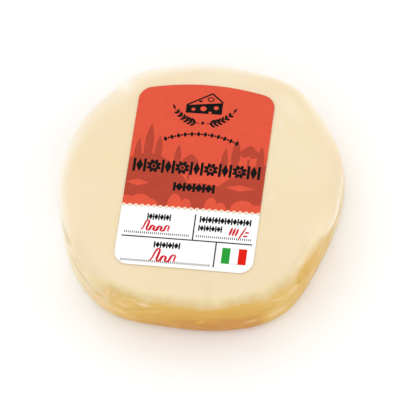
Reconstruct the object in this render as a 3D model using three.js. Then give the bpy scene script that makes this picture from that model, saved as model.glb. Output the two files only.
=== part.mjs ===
// A small wheel of provolone, drawn tight in clear film, with a paper label on its upper face.
// Millimetres, +Z up. The wheel lies on its flat base. The origin is on the base, under the middle
// of the outline's box. Seen from above, the label stands upright: +Y is its top and +X its right.

import * as THREE from "three";
import { mergeVertices } from "three/addons/utils/BufferGeometryUtils.js";

// ---- Driving dimensions ----

// The wheel, as its tight film outlines it.
const WHEEL_HEIGHT = 23; // base to the edge of the upper face
const CROWN = 0.5; // rise of the upper face from its edge to its middle
const ROUND_RADIUS = 54; // the round that the flattened sides are pressed into
const CORNER_TIGHTNESS = 28; // exponent of the blend between two sides: higher is tighter
const FLATTENED_SIDES = [
  // direction each side faces, in degrees from +X, and its distance from the origin
  { faces: -2, distance: 52 },
  { faces: 36, distance: 52.8 },
  { faces: 82, distance: 49.9 },
  { faces: 105, distance: 51.3 },
  { faces: 143, distance: 51.7 },
  { faces: 169, distance: 51.7 },
  { faces: 198, distance: 51.8 },
  { faces: 265, distance: 51 },
  { faces: 279, distance: 51.8 },
  { faces: 340, distance: 50.3 },
];

// The wall bulges a little, widest just under half its height.
const WALL_BULGE = 1.0; // how far the wall draws in from its widest height to either face
const WIDEST_SHARE = 0.46; // the widest height, as a share of the wheel's height
const UPPER_EDGE = { width: 4.6, height: 3.4 }; // rounded edge of the upper face
const UPPER_EDGE_SWING = 0.5; // the upper edge is this much wider or narrower round the wheel
const LOWER_EDGE = { width: 3.6, height: 3.6 }; // rounded edge of the base

// The hand-pressed wheel is never quite true: slow swells round the wall, waves per turn by size.
const WALL_SWELLS = [
  { waves: 5, size: 0.16, start: 20 },
  { waves: 9, size: 0.1, start: 75 },
];

// Raised folds where the film is drawn over the wall, each from one place to another, with places
// given as degrees round the wheel and height over the base.
const FILM_FOLDS = [
  { from: { turn: 192, height: 19.5 }, to: { turn: 238, height: 8 }, rise: 0.5, halfWidth: 1.6 },
  { from: { turn: 214, height: 13 }, to: { turn: 250, height: 4.5 }, rise: 0.35, halfWidth: 1.5 },
  { from: { turn: 241, height: 19.5 }, to: { turn: 256, height: 15 }, rise: 0.4, halfWidth: 1.4 },
  { from: { turn: 272, height: 10 }, to: { turn: 284, height: 5 }, rise: 0.35, halfWidth: 1.6 },
  { from: { turn: 303, height: 16.8 }, to: { turn: 326, height: 14.6 }, rise: 0.4, halfWidth: 1.4 },
  { from: { turn: 343, height: 20 }, to: { turn: 364, height: 20.5 }, rise: 0.4, halfWidth: 1.5 },
  { from: { turn: 20, height: 14 }, to: { turn: 55, height: 7 }, rise: 0.4, halfWidth: 1.6 },
  { from: { turn: 78, height: 18 }, to: { turn: 104, height: 9 }, rise: 0.45, halfWidth: 1.6 },
  { from: { turn: 118, height: 8 }, to: { turn: 148, height: 15 }, rise: 0.4, halfWidth: 1.6 },
  { from: { turn: 158, height: 17 }, to: { turn: 180, height: 10 }, rise: 0.4, halfWidth: 1.6 },
];

// The label lies on the upper face. Its top edge is one shallow arch.
const LABEL = {
  width: 49.6,
  height: 73.9, // bottom edge to the arch's highest point
  thickness: 0.4,
  middle: { x: -0.8, y: 1.7 },
  archRise: 3.5, // the arch's highest point over its two ends
  lowerCorner: 5, // corner radii
  upperCorner: 4,
};
const LABEL_CLEARANCE = 0.3; // over the film

// How finely the solids are divided.
const WHEEL_COLUMNS = 144;
const FACE_RINGS = [0.3, 0.55, 0.75, 0.9]; // shares of the way from the middle to the edge
const UPPER_EDGE_STEPS = 7;
const WALL_STEPS = 10;
const LOWER_EDGE_STEPS = 6;
const BASE_RING = 0.5;
const LABEL_CORNER_COLUMNS = 5;
const LABEL_MIDDLE_COLUMNS = 12;
const LABEL_ROWS = 18;

// ---- The wheel's outline, edges and wall ----

const radians = THREE.MathUtils.degToRad;

// Distance from the origin to the wheel's widest outline, looking down, at one angle.
function outlineRadius(angle) {
  let sum = ROUND_RADIUS ** -CORNER_TIGHTNESS;
  for (const side of FLATTENED_SIDES) {
    const towards = Math.max(Math.cos(angle - radians(side.faces)), 0);
    sum += (towards / side.distance) ** CORNER_TIGHTNESS;
  }
  return sum ** (-1 / CORNER_TIGHTNESS);
}

// How far the wall has drawn in from the widest outline at one height.
function wallInset(height) {
  const fromWidest = (height - WIDEST_SHARE * WHEEL_HEIGHT) / (WHEEL_HEIGHT / 2);
  return WALL_BULGE * fromWidest ** 2;
}

function upperEdgeWidth(angle) {
  return UPPER_EDGE.width + UPPER_EDGE_SWING * Math.sin(2 * angle + 1);
}

// Rings of the wheel's surface from the middle of the base to the middle of the upper face. Each has
// its height, its share of the way out from the middle, and how far inside the outline it would stay
// at a share of 1.
function wheelRings() {
  const rings = [];
  const faceEdge = (angle) => upperEdgeWidth(angle) + wallInset(WHEEL_HEIGHT);
  for (const share of [0, ...FACE_RINGS]) {
    const height = WHEEL_HEIGHT + CROWN * (1 - share ** 2);
    rings.push({ share, height, inset: faceEdge });
  }
  for (let step = 0; step <= UPPER_EDGE_STEPS; step++) {
    const bend = (Math.PI / 2) * (step / UPPER_EDGE_STEPS);
    const height = WHEEL_HEIGHT - UPPER_EDGE.height * (1 - Math.cos(bend));
    const left = 1 - Math.sin(bend);
    rings.push({
      share: 1,
      height,
      inset: (angle) => upperEdgeWidth(angle) * left + wallInset(height),
    });
  }
  const wallTop = WHEEL_HEIGHT - UPPER_EDGE.height;
  for (let step = 1; step < WALL_STEPS; step++) {
    const height = THREE.MathUtils.lerp(wallTop, LOWER_EDGE.height, step / WALL_STEPS);
    rings.push({ share: 1, height, inset: () => wallInset(height) });
  }
  const baseInset = LOWER_EDGE.width + wallInset(0);
  for (let step = 0; step <= LOWER_EDGE_STEPS; step++) {
    const bend = (Math.PI / 2) * (step / LOWER_EDGE_STEPS);
    const height = LOWER_EDGE.height * (1 - Math.sin(bend));
    const inset = LOWER_EDGE.width * (1 - Math.cos(bend)) + wallInset(height);
    rings.push({ share: 1, height, inset: () => inset });
  }
  rings.push({ share: BASE_RING, height: 0, inset: () => baseInset });
  rings.push({ share: 0, height: 0, inset: () => baseInset });
  return rings.reverse();
}

// 1 on the wall, easing to 0 at both faces.
function onWall(height) {
  const { smoothstep } = THREE.MathUtils;
  const aboveBase = smoothstep(height, 0, LOWER_EDGE.height);
  const nearFace = smoothstep(height, WHEEL_HEIGHT - UPPER_EDGE.height / 2, WHEEL_HEIGHT);
  return aboveBase * (1 - nearFace);
}

// Outward relief of the wall at one place: the slow swells and the film's folds.
function wallRelief(angle, height) {
  let relief = 0;
  for (const { waves, size, start } of WALL_SWELLS) {
    relief += size * Math.sin(waves * angle + radians(start));
  }
  for (const fold of FILM_FOLDS) {
    relief += foldRise(fold, angle, height);
  }
  return relief * onWall(height);
}

// A fold's cross-section is a bell, and the fold fades out towards its two ends.
function foldRise({ from, to, rise, halfWidth }, angle, height) {
  const turned = angle - radians(from.turn);
  const nearestTurn = Math.atan2(Math.sin(turned), Math.cos(turned));
  const place = new THREE.Vector2(nearestTurn * ROUND_RADIUS, height - from.height);
  const run = new THREE.Vector2(radians(to.turn - from.turn) * ROUND_RADIUS, to.height - from.height);
  const along = place.dot(run) / run.lengthSq();
  if (along <= 0 || along >= 1) return 0;
  const aside = Math.abs(place.cross(run)) / run.length();
  return rise * Math.sin(Math.PI * along) * Math.exp(-((aside / halfWidth) ** 2));
}

// ---- Geometry helpers ----

// Only positions matter in these solids, and shared corners are merged so that each one is closed.
function closedGeometry(geometry) {
  geometry.deleteAttribute("normal");
  geometry.deleteAttribute("uv");
  const merged = mergeVertices(geometry, 1e-4);
  merged.computeVertexNormals();
  return merged;
}

function material(colour, roughness) {
  return new THREE.MeshStandardMaterial({ color: colour, roughness, metalness: 0 });
}

// ---- Sub-parts ----

// A lathe turns the rings into a round wheel, and each corner is then moved to its true place.
function wrappedCheese() {
  const rings = wheelRings();
  const profile = rings.map((ring) => {
    return new THREE.Vector2(ring.share * (ROUND_RADIUS - ring.inset(0)), ring.height);
  });
  const geometry = new THREE.LatheGeometry(profile, WHEEL_COLUMNS);
  const corners = geometry.getAttribute("position");
  for (let column = 0; column <= WHEEL_COLUMNS; column++) {
    const angle = ((column % WHEEL_COLUMNS) / WHEEL_COLUMNS) * 2 * Math.PI;
    rings.forEach((ring, row) => {
      const relief = ring.share === 1 ? wallRelief(angle, ring.height) : 0;
      const radius = ring.share * (outlineRadius(angle) - ring.inset(angle) + relief);
      const corner = column * rings.length + row;
      corners.setXYZ(corner, radius * Math.cos(angle), radius * Math.sin(angle), ring.height);
    });
  }
  const mesh = new THREE.Mesh(closedGeometry(geometry), material(0xf4e2bb, 0.25));
  mesh.name = "wrapped_cheese";
  return mesh;
}

// Height of the upper face at a place on it.
function faceHeight(x, y) {
  const angle = Math.atan2(y, x);
  const edge = outlineRadius(angle) - upperEdgeWidth(angle) - wallInset(WHEEL_HEIGHT);
  return WHEEL_HEIGHT + CROWN * (1 - (Math.hypot(x, y) / edge) ** 2);
}

// Columns across the label, closer together over its rounded corners.
function labelColumns() {
  const half = LABEL.width / 2;
  const straight = half - LABEL.upperCorner;
  const columns = [];
  for (let step = 0; step < LABEL_CORNER_COLUMNS; step++) {
    const bend = (Math.PI / 2) * (step / LABEL_CORNER_COLUMNS);
    columns.push(-straight - LABEL.upperCorner * Math.cos(bend));
  }
  for (let step = 0; step <= LABEL_MIDDLE_COLUMNS; step++) {
    columns.push(THREE.MathUtils.lerp(-straight, straight, step / LABEL_MIDDLE_COLUMNS));
  }
  for (let step = LABEL_CORNER_COLUMNS - 1; step >= 0; step--) {
    const bend = (Math.PI / 2) * (step / LABEL_CORNER_COLUMNS);
    columns.push(straight + LABEL.upperCorner * Math.cos(bend));
  }
  return columns;
}

// How far a rounded corner has come in from a straight edge, at one distance from the label's side.
function cornerInset(radius, fromSide) {
  const across = Math.max(radius - fromSide, 0);
  return radius - Math.sqrt(radius ** 2 - across ** 2);
}

function labelEdges(x) {
  const half = LABEL.width / 2;
  const fromSide = Math.max(half - Math.abs(x), 0);
  const lower = -LABEL.height / 2 + cornerInset(LABEL.lowerCorner, fromSide);
  const arch = LABEL.height / 2 - LABEL.archRise * (x / half) ** 2;
  const upper = arch - cornerInset(LABEL.upperCorner, fromSide);
  return { lower, upper };
}

// A thin sheet that follows the upper face: two grids of corners, joined along their rim.
function label() {
  const columns = labelColumns();
  const across = columns.length;
  const positions = [];
  for (const lift of [LABEL_CLEARANCE, LABEL_CLEARANCE + LABEL.thickness]) {
    for (let row = 0; row <= LABEL_ROWS; row++) {
      for (const column of columns) {
        const { lower, upper } = labelEdges(column);
        const x = LABEL.middle.x + column;
        const y = LABEL.middle.y + THREE.MathUtils.lerp(lower, upper, row / LABEL_ROWS);
        positions.push(x, y, faceHeight(x, y) + lift);
      }
    }
  }
  const layer = across * (LABEL_ROWS + 1);
  const corner = (row, column, level) => level * layer + row * across + column;
  const faces = [];
  const quad = (a, b, c, d) => faces.push(a, b, c, a, c, d);
  for (let row = 0; row < LABEL_ROWS; row++) {
    for (let column = 0; column < across - 1; column++) {
      const [a, b] = [corner(row, column, 1), corner(row, column + 1, 1)];
      const [c, d] = [corner(row + 1, column + 1, 1), corner(row + 1, column, 1)];
      quad(a, b, c, d);
      quad(a - layer, d - layer, c - layer, b - layer);
    }
  }
  const rim = [];
  for (let column = 0; column < across - 1; column++) rim.push([0, column]);
  for (let row = 0; row < LABEL_ROWS; row++) rim.push([row, across - 1]);
  for (let column = across - 1; column > 0; column--) rim.push([LABEL_ROWS, column]);
  for (let row = LABEL_ROWS; row > 0; row--) rim.push([row, 0]);
  rim.forEach(([row, column], index) => {
    const [nextRow, nextColumn] = rim[(index + 1) % rim.length];
    quad(
      corner(row, column, 0),
      corner(nextRow, nextColumn, 0),
      corner(nextRow, nextColumn, 1),
      corner(row, column, 1),
    );
  });
  const geometry = new THREE.BufferGeometry();
  geometry.setAttribute("position", new THREE.Float32BufferAttribute(positions, 3));
  geometry.setIndex(faces);
  const mesh = new THREE.Mesh(closedGeometry(geometry), material(0xe75b44, 0.5));
  mesh.name = "label";
  return mesh;
}

const provolone = new THREE.Group();
provolone.name = "provolone";
provolone.add(wrappedCheese(), label());

export default provolone;
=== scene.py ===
"""Looks of a small provolone wheel in tight clear film, with a printed paper label.

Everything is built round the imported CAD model, in its frame: +Z up, metres in Blender. Sizes in this
script are millimetres, as on a drawing, and turn into metres where a mesh is made. Only the floor
and the lights are given in metres.
"""

import math
import random

import bpy
import numpy as np
from mathutils import Matrix, Vector
from mathutils.geometry import delaunay_2d_cdt


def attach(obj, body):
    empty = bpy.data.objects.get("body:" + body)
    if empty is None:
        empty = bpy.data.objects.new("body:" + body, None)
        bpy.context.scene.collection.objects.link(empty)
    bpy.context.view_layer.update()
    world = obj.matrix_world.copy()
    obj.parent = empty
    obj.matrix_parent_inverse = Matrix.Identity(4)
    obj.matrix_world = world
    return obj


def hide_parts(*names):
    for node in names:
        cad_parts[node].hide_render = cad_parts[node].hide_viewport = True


MM = 0.001
BODY = "root"

# ---- The wheel's driving dimensions, the same as the solid's ----

WHEEL_HEIGHT = 23.0  # base to the edge of the upper face
CROWN = 0.5  # rise of the upper face from its edge to its middle
ROUND_RADIUS = 54.0
CORNER_TIGHTNESS = 28
FLATTENED_SIDES = [  # direction each side faces in degrees from +X, and its distance
    (-2, 52.0), (36, 52.8), (82, 49.9), (105, 51.3), (143, 51.7), (169, 51.7), (198, 51.8), (265, 51.0),
    (279, 51.8), (340, 50.3),
]
WALL_BULGE = 1.0
WIDEST_SHARE = 0.46
UPPER_EDGE_WIDTH = 4.6
UPPER_EDGE_HEIGHT = 3.4
UPPER_EDGE_SWING = 0.5
LOWER_EDGE = 3.6
WALL_SWELLS = [(5, 0.16, 20), (9, 0.1, 75)]  # waves per turn, size, start in degrees

# The film's larger folds: turn and height where each starts and ends, rise, half width.
LARGE_FOLDS = [
    (192, 19.5, 238, 8, 0.5, 1.6), (214, 13, 250, 4.5, 0.35, 1.5), (241, 19.5, 256, 15, 0.4, 1.4),
    (272, 10, 284, 5, 0.35, 1.6), (303, 16.8, 326, 14.6, 0.4, 1.4), (343, 20, 364, 20.5, 0.4, 1.5),
    (20, 14, 55, 7, 0.4, 1.6), (78, 18, 104, 9, 0.45, 1.6), (118, 8, 148, 15, 0.4, 1.6),
    (158, 17, 180, 10, 0.4, 1.6),
]

# ---- The label's driving dimensions ----

LABEL_WIDTH = 49.6
LABEL_HEIGHT = 73.9
LABEL_MIDDLE = (-0.8, 1.7)
LABEL_ARCH = 3.5
LABEL_LOWER_CORNER = 5.0
LABEL_UPPER_CORNER = 4.0
LABEL_THICKNESS = 0.12
LABEL_LIFT = 0.05  # underside of the paper over the wheel's upper face
LABEL_GRID = 4.0  # the sheet is cut this often, so that it can follow the crown
LABEL_MERGE = 1e-4  # corners of the print closer than this become one
LABEL_WAVE = 0.015  # half the height of the paper's slight waves

# ---- How deep the layers lie under the solid's surface ----

FILM_DEPTH = 0.1
CHEESE_DEPTH = 0.22

# ---- Colouring of the rind, in places given as turn in degrees and distance in millimetres down
# from the upper face's edge, which is below 0 on the face ----

# Round the wheel: turn, where the rind starts, over how much it comes in, how ripe it is there and
# how ripe at the foot of the wall.
RIND_ROUND = [
    (5, 10, 4, 0.28, 0.3), (15, 9, 6, 0.2, 0.3), (30, 7, 8, 0.25, 0.4), (60, 7, 8, 0.35, 0.5),
    (100, 7, 8, 0.4, 0.55), (140, 7, 8, 0.25, 0.35), (170, 8, 8, 0.08, 0.14), (200, 8, 8, 0.04, 0.08),
    (222, 3, 8, 0.08, 0.1), (230, -1, 9, 0.16, 0.24), (235, -1.5, 10, 0.3, 0.44),
    (240, -1.5, 8, 0.48, 0.5), (245, -1, 8, 0.56, 0.62), (255, -0.5, 8, 0.6, 0.76),
    (265, -1, 8.5, 0.64, 0.95), (280, -1, 10, 0.68, 1.12), (295, -1.2, 8, 0.68, 1.1),
    (300, -1.8, 9, 0.66, 0.98), (305, -0.8, 9, 0.57, 0.64), (311, -1.8, 8.5, 0.54, 0.62),
    (318, 0.9, 6, 0.5, 0.64), (325, 2.9, 4.6, 0.74, 0.72), (330, 2.3, 6.2, 0.6, 0.62),
    (335, 2.2, 8, 0.6, 0.62), (340, 3.6, 7, 0.44, 0.56), (345, 9.2, 6, 0.46, 0.58),
    (352, 14.4, 1.5, 0.32, 0.36), (358, 14.2, 1.5, 0.27, 0.3),
]

# Riper and paler patches: turn, down, half length, half width, lean in degrees, change.
RIND_PATCHES = [
    (242.6, 3.8, 4.2, 1.5, 8, 0.1), (248.9, 4.1, 2.3, 1.8, 30, 0.08), (243.4, 8.4, 1.8, 2.4, 20, 0.06),
    (235.8, 10.6, 2.2, 0.9, 8, 0.14), (253.6, 4.8, 3.4, 0.8, 8, 0.06), (254.8, 7.2, 3.4, 1.6, 4, -0.12),
    (235, 11.2, 2.6, 1.9, -10, 0.14), (256, 4.6, 2.2, 1.4, 0, -0.1), (253, 17.8, 3, 1.8, 0, 0.12),
    (327.4, 11.6, 3.5, 2.6, 0, 0.07), (305, 12, 3.6, 1, 4, 0.16), (307, 17.4, 5, 2, 4, -0.08),
    (296.8, 17, 3.4, 1.3, -5, -0.1), (277.2, 15.4, 3, 1.3, -45, -0.24), (282.8, -2, 5, 2.2, 113, 0.08),
    (253.6, 7.4, 2.8, 0.8, 4, -0.06), (266, 14.6, 5, 1.2, -6, -0.06), (290, 9, 6, 1, 3, 0.05),
    (320.6, 10, 1.5, 2.2, 0, 0.1), (285.4, 3.2, 2.2, 2, 10, -0.1), (20, 12, 9, 3, 4, -0.1),
    (48, 12, 6, 2.4, 10, 0.16), (74, 15, 9, 3, -6, 0.2), (92, 11, 6, 2, 8, -0.16),
    (112, 14, 8, 3, 4, 0.18), (133, 12, 6, 2.4, -8, 0.14), (152, 15, 8, 3, 6, 0.12),
    (182, 16, 8, 4, 4, 0.08),
]

# Places along the folds that more than one layer shows.
LEFT_DIP = [(205.2, 6.7), (209.8, 5.8), (213.8, 5.2), (216, 5)]
LEFT_FOLD = [(214.5, 8.4), (217.5, 7.7), (220.3, 7.8), (223, 8.1), (226.8, 8.8), (230.5, 9.8)]
RIGHT_CREASE = [(348.5, 13.2), (351, 12.9), (353.5, 12.9), (356, 12.6), (358, 11.6), (1.2, 8.2)]
RIGHT_GLOW = [(350.5, 17), (353.2, 17.6), (355.8, 18.5), (358.2, 19.4), (1, 18.3), (4, 17)]

# Thin riper lines in the rind: half width, change, then turn and down of each point. Those along
# LEFT_DIP,
# LEFT_FOLD, from 246.8° and from 347° to 4° follow the painted fold shade and darken it towards gold.
RIND_AND_SHADE_LINES = [
    (0.4, 0.12, [(246.8, 13.5), (253.3, 10.7), (260.8, 8.5)]),
    (0.3, 0.14, [(300.5, 10.8), (304.5, 11.5), (310.8, 11.2)]),
    (0.65, 0.4, [(347, 16.2), (352.5, 15.8), (357, 15.5), (0.2, 14.2), (4, 13)]),
    (0.9, 0.26, [(201, 7.4)] + LEFT_DIP), (1.8, 0.08, [(2, 7), (8, 6.5), (14, 6.5), (22, 6.5)]),
    (1, 0.2, LEFT_FOLD), (0.5, 0.12, [(281, 12.6), (286, 12.3), (290, 12.6)]),
    (0.9, 0.25, [(243, 20), (248, 20.6), (256, 21), (264, 21.5)]),
    (0.3, 0.1, [(291.5, 5.4), (295.5, 5), (299, 5.6)]),
]

# Where the rind turns peach under the film: turn, down, half length, half width, lean, amount.
PEACH_PATCHES = [
    (239.8, 6.2, 1.4, 3, 10, 0.75), (246.4, 10, 3.4, 3.4, 10, 0.6), (237, 17, 8, 4.5, 0, 0.8),
    (245.4, 7.6, 2.4, 1.5, 30, 0.5), (250, 8.6, 2.4, 2, 0, 0.4), (309, 18, 8, 2.6, 5, 0.5),
    (316, 18.5, 6, 2.4, 5, 0.25), (254.8, 7.6, 3.6, 1.6, 4, 0.6), (243.8, 16.6, 4.5, 3.4, 0, 0.8),
    (247, 19.6, 6, 2.2, 0, 0.4), (297.2, 17, 3.6, 1.8, -5, 0.5), (336, 9.4, 4, 1.4, 8, 0.4),
    (120, 17, 9, 4, 0, 0.4), (60, 17, 9, 4, 0, 0.3),
]

# Thin peach lines of painted highlight where a fold of the film catches the light: half width,
# amount, then the points.
PEACH_HIGHLIGHT_LINES = [
    (0.3, 1, [(312.6, 9.2), (315.2, 9.7), (318.2, 9.9), (320.2, 10.6)]),
    (0.34, 0.8, [(306.6, 8.2), (312.2, 9.4)]),
    (0.5, 0.9, [(251.8, 7.2), (253.6, 7.4), (255.6, 7.3), (258.2, 6.9)]),
    (0.35, 0.9, [(241.8, 5.6), (244.6, 5.1)]), (0.4, 0.9, [(248.4, 6.1), (250, 5.6), (251.6, 6.2)]),
    (0.7, 0.9, [(212.5, 8), (214.8, 7.6), (216.6, 6.8)]),
    (0.5, 0.4, [(217, 5.9), (221.5, 6.1), (224.5, 6.1), (228.2, 6.7)]),
    (1.7, 0.8, [(323.5, 18.2), (327, 18.2), (329.5, 18.2), (332.5, 18.6)]),
    (0.5, 0.6, [(324.4, 5), (327, 5.4), (329.6, 6)]), (0.6, 0.7, [(335.4, 13.9), (338.6, 13.3)]),
    (1.2, 0.8, RIGHT_GLOW),
]

# Painted shade: soft dark lines where the film folds over itself, and broader darker bands over the face
# and near the rim: half width, depth of tone, then the points.
PAINTED_FOLD_SHADES = [
    (1, 1.1, [(199, 7.8), (202, 7)] + LEFT_DIP), (1.2, 1.2, LEFT_FOLD + [(234, 11.2)]),
    (0.6, 0.9, [(218, 5), (220, 5.1), (222.5, 5.1), (225.8, 5), (228, 5.6)]),
    (1.6, 0.5, [(220, 5.4), (222.5, 4.9), (225.5, 4.8), (228.5, 5.2)]),
    (2.8, 0.5, [
        (340, 8.5), (344, 7.6), (347.2, 7.4), (350.5, 6.8), (354, 6.2), (358, 5.4),
        (1, 5), (8, 5), (16, 5), (24, 5),
    ]),
    (0.6, 0.6, [(213, 2), (218, 2.6), (223, 3.8)]),
    (0.35, 1.2, [(251.4, 7.7), (252.6, 8.3), (253.8, 9)]), (0.3, 0.5, [(241.5, 5), (244.5, 6), (248, 7)]),
    (0.45, 0.7, [(246.8, 13.5), (250, 12), (253.3, 10.7), (260.8, 8.5)]),
    (2.2, 0.12, [(284.3, -5.4), (282.5, -1.6), (281.2, 1.4)]), (1, 0.5, [(276.4, 18.2), (279.6, 17.6)]),
    (2.6, 0.4, [(212, 1), (220, 1.8), (228, 2.2), (238, 1.4)]),
    (7, 0.2, [(250, -4), (270, -5), (295, -5), (315, -5), (334, -4)]),
    (0.6, 1.5, [(346, 15.9), (350, 15.9), (353, 15.8), (356, 15.5), (359, 14.4), (1, 13.6), (2.4, 13.2)]),
    (0.3, 0.5, [(312.6, 10.6), (319, 11.4)]), (0.3, 0.5, [(306.4, 9.2), (311, 10.3)]),
    (1.3, 0.6, [(314, 1.6), (318, 2), (322, 2.4), (326, 2.6), (331, 2.4), (336, 3)]),
    (1.3, 0.9, [(318.6, 7.4), (320.4, 9.8), (321.4, 12.4)]),
]

# ---- The film's creases, and the painted sheen and highlights on the cheese, in the same places ----

# Drawn creases: rise, half width, milkiness, then turn and down of each point. Their milky white is
# partly a painted highlight along the crease.
FILM_CREASES = [
    (0.03, 0.6, 0.03, [
        (200, 10.2), (205.5, 9.2), (211, 6.8), (216, 5.9), (220.5, 6.2), (226, 8.2), (233, 10),
    ]),
    (0.06, 0.35, 0.2, [(242.2, 5.6), (244.4, 5.1)]),
    (0.05, 0.35, 0.15, [(248.4, 6.1), (250, 5.5), (251.4, 5.9)]),
    (0.05, 0.35, 0.06, [(252.6, 7.2), (254.5, 7.4), (257.2, 7)]),
    (0.06, 0.4, 0.03, [(313.2, 9.6), (316.8, 9.9), (320, 10.5)]),
    (0.06, 0.4, 0.03, [(307.2, 8.3), (312, 9.3)]), (0.09, 0.5, 0.5, RIGHT_CREASE),
    (0.05, 0.4, 0.08, [(293.5, 18.2), (297.5, 17.2)]), (0.05, 0.4, 0.1, [(268, 18.6), (272, 18)]),
]

# Where the film is a little milky: turn, down, half length, half width, lean in degrees, milkiness.
FILM_VEILS = [
    (316, 18, 8, 3, 5, 0.06), (355, 8.4, 6, 1.6, -8, 0.08), (20, 9, 9, 2.4, 4, 0.2),
    (96, 14, 7, 3, 6, 0.16), (180, 13, 8, 3, 4, 0.16),
]

# Round the wheel: turn, where the painted sheen over the rim starts and where it is full, how
# strong it is there and how strong low on the wall.
PAINTED_SHEEN_ROUND = [
    (5, 0, 8, 0, 0.04), (14, 0, 8, 0.04, 0.04), (22, 0, 8, 0.24, 0.12), (40, -1, 8, 0.55, 0.2),
    (50, 0.5, 8, 0.7, 0.2), (60, 0.5, 7, 0.8, 0.25), (80, -1.5, 5.5, 0.85, 0.3), (100, -2, 3.6, 1, 0.3),
    (115, -3, 4.5, 0.95, 0.3), (125, -5, 6, 0.86, 0.3), (131, -4.5, 2.2, 1, 0.3), (137, -7, 9, 0.76, 0.3),
    (145, -5, 9, 0.78, 0.3), (160, -2, 7.5, 0.92, 0.35), (175, -1, 6.3, 0.95, 0.5),
    (190, 0, 6.5, 0.9, 0.85), (198, 0, 7, 0.75, 0.85), (205, 0, 6, 0.45, 0.8), (211, 0, 6, 0.22, 0.6),
    (215, 0, 6, 0.12, 0.12), (222, 0, 6, 0, 0.04), (228, 0, 6, 0, 0), (350, 0, 6, 0, 0),
]

# Painted sheen and highlights in patches on the face and wall: turn, down, half length, half width, lean,
# amount.
PAINTED_SHEEN_PATCHES = [
    (24, -12, 34, 17, 0, 0.14), (46, -2.5, 13, 5, 0, 0.28), (85, 0, 20, 8, 0, 0.16),
    (43, -8.6, 3.4, 1.4, 0, 0.3), (350.8, -16.5, 2.6, 1.4, 0, 0.3),
]

# Painted highlight lines where a fold of the film catches the light: half width, amount, then the points.
PAINTED_HIGHLIGHT_LINES = [
    (0.6, 1, RIGHT_CREASE), (1.2, 0.3, RIGHT_GLOW),
    (0.45, 0.55, [(208.5, 7.8), (212.5, 6.9), (215, 6.3), (217, 5.9)]),
    (0.5, 0.16, [(236.5, 7), (238.5, 10.5), (240.5, 14.5)]), (0.4, 0.16, [(233.5, 7.8), (237, 12)]),
]

# ---- How the layers vary between those places ----

# Waves that make outlines irregular: per radian of turn, per millimetre down, start and size.
OUTLINE_WAVES = [(70, 0.9, 1, 0.5), (157, -1.9, 2.3, 0.35), (43, 3.1, 0, 0.25)]
CHEESE_SWELLS = [(6, 0.4, 0, 0.05), (11, -0.3, 0, 0.04)]  # the same, for the cheese's surface
SWELLS_COME_IN = (-12, 4)  # from the face down over the edge
PATCH_REACH = 1.15  # where a patch ends, as a share of its half length and half width
PATCH_WOBBLE = 0.2
LINE_END = 0.15  # height of a line at its ends, as a share of its middle
LINE_EASING = 3  # above 2, a line has its full height before its middle
RIND_WOBBLE = 0.25  # how far the rind's upper limit wanders
RIND_FOOT = (6, 20)  # down the wall, from its upper ripeness to that of its foot
BASE_PALENESS = 0.7  # how far the rind fades on the base
PAINTED_SHEEN_WALL = (7, 11)  # down the wall, from the rim's painted sheen to the wall's

# The film's small folds, drawn at random: across the lower edge, and along the wall's back half.
FOLD_SEED = 7
LOWER_FOLDS = 50
LOWER_FOLD_RISE = (0.02, 0.06)
LOWER_FOLD_MILKINESS = 0.25
WALL_FOLDS = 24
WALL_FOLD_MILKINESS = 0.3

# How finely the layers are built: columns round them, then rows over the face, over each edge, over
# the wall and over the base.
CHEESE_GRID = (900, 27, 14, 42, 5)
FILM_GRID = (900, 20, 16, 48, 8)
RING_CROWDING = 1.35  # above 1, the rings on the face lie closer towards its edge

# ---- Colours, as sRGB values from 0 to 255 ----

RIND_COLOURS = [  # how ripe the rind is, and its colour there
    (0.0, (236, 217, 180)), (0.15, (230, 211, 166)), (0.3, (221, 198, 150)), (0.45, (218, 188, 130)),
    (0.6, (213, 174, 84)), (0.75, (208, 160, 62)), (0.88, (202, 150, 50)), (1.0, (195, 134, 48)),
]
FACE_COLOURS = [(0.34, (235, 217, 176)), (0.5, (236, 217, 180)), (0.66, (237, 217, 184))]
PEACH_COLOUR = (244, 204, 156)
PAINTED_SHEEN_COLOUR = (248, 241, 230)
PAINTED_SHADE_COLOUR = (124, 104, 30)
MILKY_COLOUR = (254, 247, 232)

INKS = [
    ("white", (248, 248, 247)), ("red", (220, 83, 59)), ("dark_red", (179, 66, 47)),
    ("cream", (246, 212, 176)), ("beige", (214, 206, 184)), ("black", (9, 8, 8)),
    ("grey", (44, 44, 44)), ("hair", (218, 220, 219)), ("scarlet", (206, 18, 40)),
    ("green", (35, 156, 52)), ("stripe_red", (221, 24, 5)),
]
WHITE, RED, DARK_RED, CREAM, BEIGE, BLACK, GREY, HAIR, SCARLET, GREEN, STRIPE_RED = range(len(INKS))
INK_UNEVENNESS = 0.03
FILM_MIRRORING = (0.006, 0.26)  # straight on, and how much more at a glancing angle

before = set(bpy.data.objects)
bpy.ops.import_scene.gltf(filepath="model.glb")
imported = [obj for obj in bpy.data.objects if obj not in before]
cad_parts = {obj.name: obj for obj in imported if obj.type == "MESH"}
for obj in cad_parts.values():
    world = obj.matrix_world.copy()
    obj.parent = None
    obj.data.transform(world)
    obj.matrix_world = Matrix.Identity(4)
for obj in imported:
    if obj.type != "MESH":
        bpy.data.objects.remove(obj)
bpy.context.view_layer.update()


# ---- Geometry of the wheel ----

def outline_radius(turn):
    """Distance from the origin to the widest outline, looking down."""
    total = np.full_like(turn, ROUND_RADIUS ** -CORNER_TIGHTNESS)
    for faces, distance in FLATTENED_SIDES:
        towards = np.clip(np.cos(turn - math.radians(faces)), 0, None)
        total += (towards / distance) ** CORNER_TIGHTNESS
    return total ** (-1 / CORNER_TIGHTNESS)


def wall_inset(height):
    """How far the bulging wall lies inside its widest outline."""
    from_widest = (height - WIDEST_SHARE * WHEEL_HEIGHT) / (WHEEL_HEIGHT / 2)
    return WALL_BULGE * from_widest ** 2


def upper_edge_width(turn):
    return UPPER_EDGE_WIDTH + UPPER_EDGE_SWING * np.sin(2 * turn + 1)


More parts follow.
